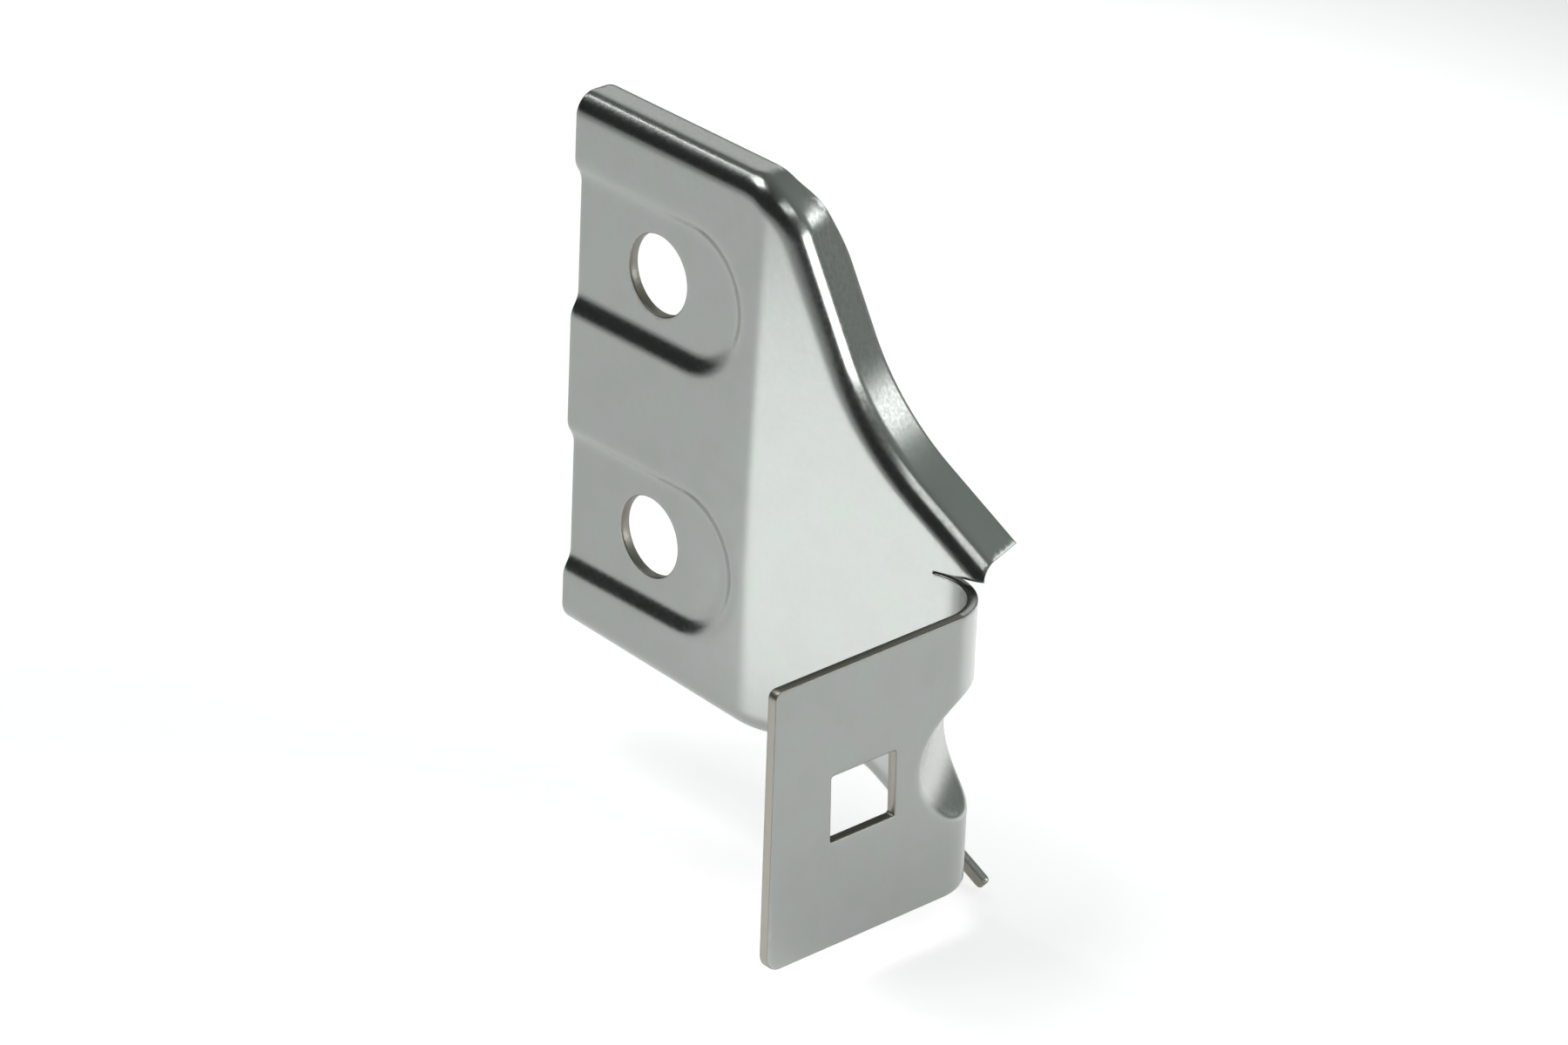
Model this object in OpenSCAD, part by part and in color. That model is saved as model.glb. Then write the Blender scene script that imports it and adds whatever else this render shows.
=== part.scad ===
// Stamped sheet-steel bracket, one folded piece, all sizes in millimetres.
// X runs right along the mounting plate, Y runs back through it, Z runs up.
// The origin is midway between the two fixing holes, on the pads' back faces.

/* [Sheet] */
// Sheet thickness
sheet_t = 0.9; // [0.6:0.05:1.5]
// Inside radius of the turned-back returns
return_ri = 1.0; // [0.6:0.1:2]

/* [Mounting plate] */
// Fixing hole diameter
hole_d = 7; // [5:0.1:8]
// Distance between the two fixing holes
hole_pitch = 23.5; // [20:0.5:28]
// Left edge of the plate to the hole centres
edge_to_hole = 9.8; // [8:0.1:12]
// Hole centres to the fold
hole_to_fold = 12.9; // [12:0.1:16]
// Upper hole up to where the top return begins to bend
top_margin = 10.85; // [9.5:0.05:13]
// Lower hole down to where the bottom return begins to bend
bottom_margin = 9.85; // [9:0.05:12]
// Depth of the top return behind the plate, from the front face
plate_return_d = 3.7; // [3:0.1:6]
// Depth of the bottom return, from the front face
bottom_return_d = 2.8; // [2.4:0.1:4]
// Radius of the plate's lower left corner and of the return's back corner
corner_r = 1.2; // [0.5:0.1:2]

/* [Pads] */
// How far the pads are pressed back
pad_depth = 0.75; // [0.3:0.05:1.2]
// Half the height of a pad, at the middle of its ramp
pad_half = 6.0; // [5:0.1:7]
// Hole centre to the centre of the pad's round end
pad_end_x = 4.35; // [2:0.05:5]
// Width of the ramp around a pad
pad_ramp = 1.3; // [0.6:0.1:2]

/* [Web] */
// Angle by which the web turns back from the plate
web_angle = 20; // [10:1:30]
// Fold to the start of the corner bend
web_run = 16.9; // [15.5:0.1:20]
// Fold to the right end of the top return
return_end = 21.1; // [20:0.1:24]
// Depth of the web's top return, from the front face
web_return_d = 5.9; // [4:0.1:7]
// Where that return begins to widen, past the fold
widen_from = -0.5; // [-2:0.1:1]
// Where that return reaches its full depth, past the fold
widen_run = 3.5; // [2:0.1:5]
// Where the sloping edge would meet the level top edge, past the fold
crest_run = 0.75; // [0:0.05:2]
// Radius of the convex turn in the top edge
crest_r = 4.8; // [3.5:0.1:6]
// Slope of the upper stretch
steep_angle = 67; // [55:1:72]
// Length of the upper stretch
steep_len = 10; // [7:0.1:12]
// Radius of the hollow turn in the sloping edge
hollow_r = 28; // [18:0.5:36]
// Slope of the lower stretch
shallow_angle = 40; // [30:1:50]
// Where the web's bottom edge turns down
lower_turn_run = 11.3; // [9:0.1:13]
// Slope of the bottom edge past that
lower_angle = 38; // [30:1:45]
// Radius of that turn
lower_turn_r = 6; // [4:0.5:10]

/* [Front flange] */
// Outside radius of the corner bend
corner_ro = 5.5; // [4:0.1:7]
// Height of the flange
flange_h = 24.9; // [22:0.1:28]
// Level of the flange's bottom edge below the origin
flange_drop = 30.1; // [28:0.1:32]
// Length of the flat part of the flange
flange_len = 18.9; // [16:0.1:22]
// Small slope of the flange's edges
flange_tilt = 1.8; // [0:0.1:3]
// Rectangular hole, across the flange
slot_w = 6.8; // [5:0.1:8]
// Rectangular hole, up the flange
slot_h = 5.9; // [4.5:0.1:7]
// Free edge of the flange to the hole's centre
slot_inset = 9.8; // [8:0.1:12]
// Radius of the flange's free corners
flange_corner_r = 1.4; // [0.5:0.1:3]

/* [Corner details] */
// Radius of the dart pressed into the corner bend
dart_r = 6.5; // [5:0.1:8]
// Depth of the dart
dart_depth = 3.15; // [2:0.05:4.5]
// How far the dart's push leans from the corner's bisector towards the flange
dart_turn = 20; // [0:1:30]
// Level of the dart's middle below the origin
dart_drop = 18; // [16:0.1:20]
// Height of the narrow relief slit under the top return's end
slit_h = 0.5; // [0.3:0.05:1]
// Length of the small lug behind the corner
lug_len = 3.4; // [2:0.1:5]
// Radius of the lug's tip
lug_tip = 0.6; // [0.3:0.1:0.8]

/* [Hidden] */
$fn = 96;
return_ro = return_ri + sheet_t;
back_y = -pad_depth;
front_y = back_y - sheet_t;
top_z = hole_pitch / 2 + top_margin;
low_z = -hole_pitch / 2 - bottom_margin;
corner_ri = corner_ro - sheet_t;
turn = 90 + web_angle;
flange_top = -flange_drop + flange_h;
slit_z = flange_top + slit_h;
pad_lap = sheet_t * tan(atan(pad_depth / pad_ramp) / 2);
// Reach of large and small cutting blocks, and how far they pass a face they cut
reach = 60;
block = 20;
spare = 1;
// How far stretches are drawn past a cut that ends them
mitre_over = 3;
fold_over = 3;
web_over = 2;
flange_over = 12;
band_over = 2;
plan_over = 11;
plan_in = 5;
// Straight pieces in the round stretches
crest_steps = 4;
turn_steps = 3;
corner_steps = 12;
free_steps = 4;
plan_steps = 6;
roller_sides = 36;
// Overlaps by which neighbouring stretches of the sheet are joined
sheet_lap = 0.4;
edge_back = 0.2;
joint_lap = 0.01;
corner_lap = 0.5;
corner_low = 0.35;
slit_u = web_run - corner_lap / 2;
low_end_u = web_run - corner_lap / 5;
lug_in = 0.02;
lug_w = bottom_return_d - return_ro - 2 * lug_in;
core_r = corner_ro - 0.02;
plate_start = joint_lap - edge_to_hole - hole_to_fold;
flange_fall = (flange_len - flange_corner_r) * tan(flange_tilt);
crest_cu = crest_run - crest_r * tan(steep_angle / 2);
crest_cz = top_z - crest_r;
steep_u = crest_cu + crest_r * sin(steep_angle);
steep_z = crest_cz + crest_r * cos(steep_angle);
hollow_cu = steep_u + steep_len * cos(steep_angle) + hollow_r * sin(steep_angle);
hollow_cz = steep_z - steep_len * sin(steep_angle) + hollow_r * cos(steep_angle);
shallow_u = hollow_cu - hollow_r * sin(shallow_angle);
shallow_z = hollow_cz - hollow_r * cos(shallow_angle);
return_end_z = shallow_z - (return_end - shallow_u) * tan(shallow_angle);
lower_cu = lower_turn_run - lower_turn_r * tan(lower_angle / 2);
lower_cz = low_z - lower_turn_r;
slope_u = lower_cu + lower_turn_r * sin(lower_angle);
slope_z = lower_cz + lower_turn_r * cos(lower_angle);
slope_len = (web_run - slope_u) / cos(lower_angle);
slope_end_z = slope_z - slope_len * sin(lower_angle);
top_edge = top_path(0);
low_edge = [for (p = low_path(0, 2)) [p[0], -p[1]]];

// The top edge's line of bending, moved outward by a margin, from the plate's left edge on.
function top_path(grow) = concat(
    [[plate_start, top_z + grow]],
    arc_points(crest_cu, crest_cz, crest_r + grow, 0, steep_angle, crest_steps),
    arc_points(hollow_cu, hollow_cz, -hollow_r + grow, steep_angle, shallow_angle, turn_steps),
    [[return_end, return_end_z + grow / cos(shallow_angle)]]
);

// The bottom edge's line of bending, moved inward by a margin and run on past the corner's start.
function low_path(shrink, past) = concat(
    [[plate_start, low_z + shrink]],
    arc_points(lower_cu, lower_cz, lower_turn_r + shrink, 0, lower_angle, turn_steps),
    [[
        web_run + past * cos(lower_angle),
        slope_end_z - past * sin(lower_angle) + shrink / cos(lower_angle)
    ]]
);

// Lays a drawing of the XZ plane down as a sheet from y = 0 back to y = depth.
module sheet(depth) {
    translate([0, depth, 0])
        rotate([90, 0, 0])
            linear_extrude(height = depth)
                children();
}

// Frame of the web: x along it from the fold, y back through it.
module at_web() {
    translate([hole_to_fold, front_y, 0])
        rotate([0, 0, web_angle])
            children();
}

// Frame of the corner bend's axis, with x along the web.
module at_corner() {
    at_web()
        translate([web_run, -corner_ri, 0])
            children();
}

// Cuts away what lies past the fold's bisecting plane: side 1 the web's side, -1 the plate's.
module past_fold(side) {
    translate([hole_to_fold, front_y, 0])
        rotate([0, 0, web_angle / 2])
            translate([side * (reach / 2 + joint_lap) - reach / 2, -reach / 2, -reach])
                cube([reach, reach, 2 * reach]);
}

// Section of a return: a lap into the flat, a quarter bend, then a flat to the given depth.
module return_section(depth) {
    translate([-sheet_lap, 0])
        square([sheet_lap, sheet_t]);
    difference() {
        translate([0, return_ro])
            circle(r = return_ro);
        translate([0, return_ro])
            circle(r = return_ri);
        translate([-2 * return_ro, -return_ro])
            square([2 * return_ro, 4 * return_ro]);
        translate([-return_ro, return_ro])
            square([4 * return_ro, 2 * return_ro]);
    }
    translate([return_ri, return_ro])
        square([sheet_t, depth - return_ro]);
}

// Straight return along +x, standing up from z = 0, cut to mitres at both ends.
module straight_return(length, depth, start_turn, end_turn) {
    difference() {
        translate([length + mitre_over, 0, 0])
            rotate([0, -90, 0])
                linear_extrude(height = length + 2 * mitre_over)
                    return_section(depth);
        rotate([0, -start_turn / 2, 0])
            translate([-block - joint_lap, -spare, -block / 2])
                cube(block);
        translate([length, 0, 0])
            rotate([0, end_turn / 2, 0])
                translate([joint_lap, -spare, -block / 2])
                    cube(block);
    }
}

// Slope of the line from one point to the next, downward being positive.
function slope(p, i) = atan2(p[i][1] - p[i + 1][1], p[i + 1][0] - p[i][0]);

// Points of a round stretch between two slopes; hollow turns have their centre outside.
function arc_points(cu, cz, r, from_slope, to_slope, steps) = [
    for (i = [0 : steps])
        let (a = from_slope + (to_slope - from_slope) * i / steps)
            [cu + r * sin(a), cz + r * cos(a)]
];

// Return along a line of points, mitred at each.
module return_along(points, depth) {
    last = len(points) - 2;
    for (i = [0 : last])
        translate([points[i][0], 0, points[i][1]])
            rotate([0, slope(points, i), 0])
                straight_return(
                    norm(points[i + 1] - points[i]),
                    depth,
                    i == 0 ? 0 : slope(points, i) - slope(points, i - 1),
                    i == last ? 0 : slope(points, i + 1) - slope(points, i)
                );
}

// D-shaped press of one pad, grown by a margin, as a solid from y = -joint_lap to y = pad_depth.
module pad_press(grow) {
    depth = pad_depth + joint_lap;
    narrow = pad_half - pad_ramp / 2 + grow;
    wide = narrow + depth * pad_ramp / pad_depth;
    translate([0, -joint_lap, 0]) {
        translate([pad_end_x, 0, 0])
            rotate([-90, 0, 0])
                cylinder(h = depth, r1 = wide, r2 = narrow);
        translate([-edge_to_hole - spare, 0, 0])
            rotate([90, 0, 90])
                linear_extrude(height = edge_to_hole + spare + pad_end_x)
                    polygon([[0, -wide], [depth, -narrow], [depth, narrow], [0, wide]]);
    }
}

// Pressed plate with its two pads and holes, up to the returns' lines of bending.
module plate_sheet() {
    difference() {
        union() {
            translate([-edge_to_hole, front_y, low_z + edge_back])
                cube([edge_to_hole + hole_to_fold + fold_over, sheet_t, top_z - low_z - 2 * edge_back]);
            for (side = [-1, 1])
                intersection() {
                    translate([0, back_y, side * hole_pitch / 2])
                        pad_press(pad_lap);
                    translate([-edge_to_hole, back_y - spare, low_z])
                        cube([edge_to_hole + hole_to_fold - spare, pad_depth + 2 * spare, top_z - low_z]);
                }
        }
        for (side = [-1, 1]) {
            translate([0, front_y, side * hole_pitch / 2])
                pad_press(0);
            translate([0, front_y - spare, side * hole_pitch / 2])
                rotate([-90, 0, 0])
                    cylinder(h = pad_depth + sheet_t + 2 * spare, d = hole_d);
        }
    }
}

// Rounds the back left corner of a return on the plate.
module round_back_corner(depth) {
    translate([-edge_to_hole, front_y + depth, -reach])
        difference() {
            translate([-spare, -corner_r, 0])
                cube([spare + corner_r, corner_r + spare, 2 * reach]);
            translate([corner_r, -corner_r, -spare])
                cylinder(r = corner_r, h = 2 * (reach + spare));
        }
}

module plate_top_return() {
    difference() {
        translate([hole_to_fold, front_y, 0])
            return_along(top_edge, web_return_d);
        translate([-edge_to_hole - spare, front_y + plate_return_d, -reach])
            cube([reach, block, 2 * reach]);
        round_back_corner(plate_return_d);
    }
}

module plate_low_return() {
    difference() {
        translate([hole_to_fold, front_y, 0])
            low_edge_return();
        round_back_corner(bottom_return_d);
    }
}

module mounting_plate() {
    color("silver")
        difference() {
            union() {
                plate_sheet();
                plate_top_return();
                plate_low_return();
            }
            past_fold(1);
        }
}

// The bottom edge's return hangs down; past the corner only its flat runs on, as the lug.
module low_edge_return() {
    mirror([0, 0, 1]) {
        difference() {
            return_along(low_edge, bottom_return_d);
            translate([low_end_u, -spare, -low_z - reach / 2])
                cube([block, block, reach]);
        }
        translate([slope_u, 0, -slope_z])
            rotate([0, -lower_angle, 0]) {
                translate([slope_len - web_over, return_ro + lug_in, return_ri + lug_in])
                    cube([lug_len + web_over - lug_tip, lug_w, sheet_t - 2 * lug_in]);
                intersection() {
                    translate([slope_len + lug_len - lug_tip, return_ro + lug_in, return_ri + lug_in])
                        cylinder(r = lug_tip, h = sheet_t - 2 * lug_in);
                    translate([slope_len, return_ro + lug_in, 0])
                        cube([lug_len, lug_w, return_ro + spare]);
                }
            }
    }
}

// The top edge's return on the web is deeper than on the plate, and widens in a slope.
module web_top_return() {
    difference() {
        return_along(top_edge, web_return_d);
        translate([0, 0, top_z - reach / 2])
            linear_extrude(height = reach)
                polygon([
                    [-block, plate_return_d],
                    [widen_from, plate_return_d],
                    [widen_run, web_return_d],
                    [widen_run, web_return_d + block],
                    [-block, web_return_d + block]
                ]);
    }
}

// Flat of the web between its returns, before its right end is cut.
module web_sheet() {
    sheet(sheet_t)
        polygon(concat(
            [[-web_over, low_z + edge_back], [-web_over, top_z - edge_back]],
            [for (i = [2 : len(top_edge) - 1]) top_path(-edge_back)[i]],
            [[return_end, low_z - block]],
            [for (i = [len(low_edge) - 1 : -1 : 1]) low_path(edge_back, 0)[i]]
        ));
}

// Web with its returns, cut at the right end and by the narrow slit over the corner bend.
module web() {
    color("lightgray")
        difference() {
            at_web() {
                low_edge_return();
                difference() {
                    union() {
                        web_sheet();
                        web_top_return();
                    }
                    translate([slit_u, -spare, -reach])
                        cube([reach, web_return_d + 2 * spare, reach + slit_z]);
                    translate([return_end, -spare, -reach])
                        cube([reach, reach, 2 * reach]);
                }
            }
            past_fold(-1);
        }
}

// Plan of a band bent round the corner, from a lap on the web to past the flange's end.
function bend_side(r) = concat(
    [[-corner_lap, r]],
    [for (i = [0 : corner_steps]) let (a = 90 - turn * i / corner_steps) [r * cos(a), r * sin(a)]],
    [[
        r * cos(web_angle) - (flange_len + spare) * sin(web_angle),
        -r * sin(web_angle) - (flange_len + spare) * cos(web_angle)
    ]]
);

// Points of one rounded free corner of the flange, side 1 the top one and -1 the bottom one.
function free_corner(side) = [
    for (i = [0 : free_steps])
        let (a = (side > 0 ? 90 : 180) + 90 * i / free_steps)
            [
                -flange_len + flange_corner_r * (1 + cos(a)),
                side * (flange_h / 2 - flange_corner_r) - flange_fall + flange_corner_r * sin(a)
            ]
];

// Outline of the front flange: x runs back along it, y up. It runs on past the bend.
module flange_outline() {
    rise = flange_over * tan(flange_tilt);
    difference() {
        polygon(concat(
            [[flange_over, rise - flange_h / 2], [flange_over, rise + flange_h / 2]],
            free_corner(1),
            free_corner(-1)
        ));
        rotate(flange_tilt)
            translate([-flange_len + slot_inset - slot_w / 2, -slot_h / 2])
                square([slot_w, slot_h]);
    }
}

// Corner bend and front flange: one band, cut to the flange's outline and along the web's foot.
module corner_and_flange() {
    color("gray")
        difference() {
            at_corner()
                translate([0, 0, -flange_drop - band_over])
                    linear_extrude(height = flange_h + band_over)
                        polygon(concat(
                            bend_side(corner_ro),
                            [for (i = [corner_steps + 2 : -1 : 0]) bend_side(corner_ri)[i]]
                        ));
            at_corner()
                rotate([0, 0, -web_angle])
                    translate([-block, 0, -flange_drop + flange_h / 2])
                        rotate([90, 0, 90])
                            linear_extrude(height = 2 * block)
                                difference() {
                                    translate([-flange_len - block / 2, -flange_h])
                                        square([flange_len + block, 2 * flange_h]);
                                    flange_outline();
                                }
            at_web()
                translate([web_run, -block, slope_end_z - corner_low / cos(lower_angle)])
                    rotate([0, lower_angle, 0])
                        translate([-block / 2, 0, -block])
                            cube([reach, reach, block]);
        }
}

// Plan of the space inside the corner's outer faces, a little within them.
module corner_plan() {
    polygon(concat(
        [[-plan_over, -plan_in], [-plan_over, core_r]],
        [for (i = [0 : plan_steps]) let (a = 90 - turn * i / plan_steps) [core_r * cos(a), core_r * sin(a)]],
        [[
            core_r * cos(web_angle) - plan_over * sin(web_angle),
            -core_r * sin(web_angle) - plan_over * cos(web_angle)
        ]],
        [[
            -plan_in * cos(web_angle) - plan_over * sin(web_angle),
            plan_in * sin(web_angle) - plan_over * cos(web_angle)
        ]]
    ));
}

// Rounded bar lying across the corner, pressed in from outside.
module dart_roller(r) {
    at_corner()
        translate([0, 0, -dart_drop])
            rotate([0, 0, 90 - turn / 2 - dart_turn])
                translate([corner_ro - dart_depth + dart_r, block, 0])
                    rotate([90, 0, 0])
                        linear_extrude(height = 2 * block)
                            polygon([
                                for (i = [0 : roller_sides - 1])
                                    let (a = 360 * (i + 0.5) / roller_sides)
                                        [r * cos(a), r * sin(a)]
                            ]);
}

// Dart pressed into the corner bend from outside.
module dart() {
    color("gray")
        difference() {
            intersection() {
                dart_roller(dart_r + sheet_t);
                at_corner()
                    translate([0, 0, -dart_drop - dart_r - sheet_t])
                        linear_extrude(height = 2 * (dart_r + sheet_t))
                            corner_plan();
            }
            dart_roller(dart_r);
        }
}

// The sheet is cut back into the dart's own thickness, so the two overlap.
module corner_with_dart() {
    dart();
    difference() {
        corner_and_flange();
        dart_roller(dart_r + sheet_t / 3);
    }
}

module bracket() {
    mounting_plate();
    corner_with_dart();
    difference() {
        web();
        dart_roller(dart_r + sheet_t / 3);
    }
}

bracket();
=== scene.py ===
"""Looks of a pressed and folded zinc-plated steel bracket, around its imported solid.

The bracket is bent from one flat blank. The blank's outline is drawn flat and filled with points,
and every point is then carried through the folds, the turned-back edges, the pads and the dart.
"""

import logging
import math
from dataclasses import dataclass, field
from enum import Enum

import bmesh
import bpy
import numpy as np
from mathutils import Matrix, Vector
from mathutils.geometry import delaunay_2d_cdt
from mathutils.kdtree import KDTree


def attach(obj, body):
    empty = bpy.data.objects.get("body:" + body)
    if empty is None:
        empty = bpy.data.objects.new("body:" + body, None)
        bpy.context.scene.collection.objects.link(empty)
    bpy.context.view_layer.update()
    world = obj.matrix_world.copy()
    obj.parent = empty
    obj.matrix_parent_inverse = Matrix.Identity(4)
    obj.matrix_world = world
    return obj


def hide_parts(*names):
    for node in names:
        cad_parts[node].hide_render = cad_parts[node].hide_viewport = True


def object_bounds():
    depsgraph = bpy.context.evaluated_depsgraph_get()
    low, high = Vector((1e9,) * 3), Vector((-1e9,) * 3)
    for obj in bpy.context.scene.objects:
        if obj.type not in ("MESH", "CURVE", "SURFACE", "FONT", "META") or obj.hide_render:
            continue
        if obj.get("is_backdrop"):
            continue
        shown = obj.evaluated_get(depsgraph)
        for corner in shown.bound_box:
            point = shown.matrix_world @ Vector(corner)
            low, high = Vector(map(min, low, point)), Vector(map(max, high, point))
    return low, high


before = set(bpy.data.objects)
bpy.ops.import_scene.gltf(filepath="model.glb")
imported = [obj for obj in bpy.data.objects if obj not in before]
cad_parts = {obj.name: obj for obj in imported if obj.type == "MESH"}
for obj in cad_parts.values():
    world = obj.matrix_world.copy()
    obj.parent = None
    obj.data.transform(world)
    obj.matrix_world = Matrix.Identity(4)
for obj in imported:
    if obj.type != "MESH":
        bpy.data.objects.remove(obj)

LOG = logging.getLogger("bracket")
MM = 0.001
QUARTER = math.pi / 2
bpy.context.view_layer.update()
NEAR, MERGE, SHORTEST = 1e-9, 1e-7, 1e-4
RANGES = ("From Min", "From Max", "To Min", "To Max")
Array = np.ndarray
Pair = tuple[float, float]
Triple = tuple[float, float, float]
Colour = tuple[float, float, float, float]
Tree = bpy.types.NodeTree
Socket = bpy.types.NodeSocket
Object = bpy.types.Object


class Side(Enum):
    """Which edge of the sheet a line of bending belongs to, and which way up it is drawn."""

    TOP = 1
    BOTTOM = -1


def smooth(value: Array) -> Array:
    """Eases a value from 0 to 1 with level ends."""
    share = np.clip(value, 0.0, 1.0)
    return share * share * (3.0 - 2.0 * share)


def rounded_rise(place: Array, corner: float) -> Array:
    """Rises from 0 at a slope of 1, with its foot rounded over the width of corner."""
    inside_corner = np.clip(place + corner / 2, 0.0, corner)
    return inside_corner * inside_corner / (2 * corner) + np.maximum(place - corner / 2, 0.0)


def soft_ramp(value: Array, corner: float) -> Array:
    """Runs from 0 to 1 in a straight ramp, rounded over the width of corner at foot and head."""
    return rounded_rise(value, corner) - rounded_rise(value - 1.0, corner)


def node(tree: Tree, kind: str, inputs: dict[str | int, object], **fields: str) -> bpy.types.Node:
    """Fills the inputs of a node, which is added unless the tree has one of that name.

    Args:
        tree: Node tree that it belongs to.
        kind: Name of a node that is there already, or the type of a new one.
        inputs: For each input, the value it is set to or the socket that is linked to it.
        fields: Settings of the node itself.

    Returns:
        The node.
    """
    made = tree.nodes.get(kind) or tree.nodes.new(kind)
    for name, value in fields.items():
        setattr(made, name, value)
    for name, source in inputs.items():
        if isinstance(source, Socket):
            tree.links.new(source, made.inputs[name])
        else:
            made.inputs[name].default_value = source
    return made


def add(data: bpy.types.ID, place: Vector = Vector(), way: Vector | None = None) -> Object:
    """Adds an object to the scene.

    Args:
        data: What it shows. It gives the object its name.
        place: Where it stands.
        way: Direction that its Z axis takes, if it is turned.

    Returns:
        The object.
    """
    obj = bpy.data.objects.new(data.name, data)
    obj.location = place
    if way:
        obj.rotation_euler = way.to_track_quat("Z", "Y").to_euler()
    bpy.context.scene.collection.objects.link(obj)
    return obj


@dataclass(frozen=True)
class Stretch:
    """One stretch of a line of bending: straight, or turning about a centre.

    A turn is positive to the left of the direction of travel. The sheet's outside is there too.
    """

    start: Pair
    heading: float
    length: float
    radius: float = 0.0

    def heading_at(self, along: Array | float) -> Array | float:
        """Direction of travel at a distance along the stretch."""
        return self.heading + (along / self.radius if self.radius else 0.0 * along)

    def point(self, along: Array | float) -> Array:
        """Places points on the stretch.

        Args:
            along: Distances from the stretch's start.

        Returns:
            The points, one row each.
        """
        x, y = self.start
        cos, sin = math.cos(self.heading), math.sin(self.heading)
        if not self.radius:
            return np.stack([x + along * cos, y + along * sin], -1)
        angle = self.heading_at(along)
        right, up = np.sin(angle) - sin, cos - np.cos(angle)
        return np.stack([x + self.radius * right, y + self.radius * up], -1)

    def along_of(self, points: Array) -> Array:
        """Finds the place on the stretch that is nearest to each point.

        Args:
            points: Points of the flat sheet, one row each.

        Returns:
            Distances from the stretch's start.
        """
        offset = points - np.array(self.start)
        if not self.radius:
            along = offset @ np.array([math.cos(self.heading), math.sin(self.heading)])
            return np.clip(along, 0.0, self.length)
        to_centre = np.array([-math.sin(self.heading), math.cos(self.heading)])
        across, ahead = ((offset - self.radius * to_centre) * math.copysign(1.0, self.radius)).T
        angle = np.arctan2(across, -ahead) - self.heading
        angle = (angle + math.pi) % (2 * math.pi) - math.pi
        return np.clip(angle * self.radius, 0.0, self.length)


@dataclass(frozen=True)
class BendLine:
    """A line along which an edge of the sheet is turned back, from the plate's left edge on."""

    stretches: tuple[Stretch, ...]

    @classmethod
    def run(cls, start: Pair, steps: list[Pair], heading: float = 0.0) -> "BendLine":
        """Chains stretches one after another.

        Args:
            start: First point.
            steps: Length and radius of each stretch, radius 0 for a straight one.
            heading: Direction in which the first stretch sets off.

        Returns:
            The line.
        """
        made: list[Stretch] = []
        for length, radius in steps:
            stretch = Stretch(start, heading, length, radius)
            made.append(stretch)
            start = tuple(stretch.point(length).tolist())
            heading = stretch.heading_at(length)
        return cls(tuple(made))

    @property
    def length(self) -> float:
        """Whole length of the line."""
        return sum(stretch.length for stretch in self.stretches)

    def point(self, along: Array) -> tuple[Array, Array]:
        """Places points on the line.

        Args:
            along: Distances from the line's start.

        Returns:
            The points and the outward normals there.
        """
        along = np.atleast_1d(along)
        spots = np.zeros((len(along), 2))
        angle = np.zeros(len(along))
        begin = 0.0
        for number, stretch in enumerate(self.stretches):
            last = number == len(self.stretches) - 1
            here = (along >= begin - NEAR) & ((along < begin + stretch.length) | last)
            spots[here] = stretch.point(along[here] - begin)
            angle[here] = stretch.heading_at(along[here] - begin)
            begin += stretch.length
        return spots, np.stack([-np.sin(angle), np.cos(angle)], -1)

    def past(self, along: Array, outward: Array | float) -> Array:
        """Places points at distances outward from places on the line."""
        spots, normals = self.point(along)
        return spots + normals * np.reshape(outward, (-1, 1))

    def nearest(self, points: Array) -> tuple[Array, Array, Array]:
        """Finds the feet of points on the line.

        Args:
            points: Points of the flat sheet.

        Returns:
            Each point's foot, the outward normal there and its distance outward.
        """
        best = np.full(len(points), np.inf)
        foot = np.zeros_like(points)
        normal = np.zeros_like(points)
        for stretch in self.stretches:
            along = stretch.along_of(points)
            spot = stretch.point(along)
            angle = stretch.heading_at(along)
            away = np.linalg.norm(points - spot, axis=1)
            nearer = away < best - NEAR
            best = np.where(nearer, away, best)
            foot[nearer] = spot[nearer]
            normal[nearer] = np.stack([-np.sin(angle), np.cos(angle)], -1)[nearer]
        return foot, normal, np.einsum("ij,ij->i", points - foot, normal)


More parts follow.
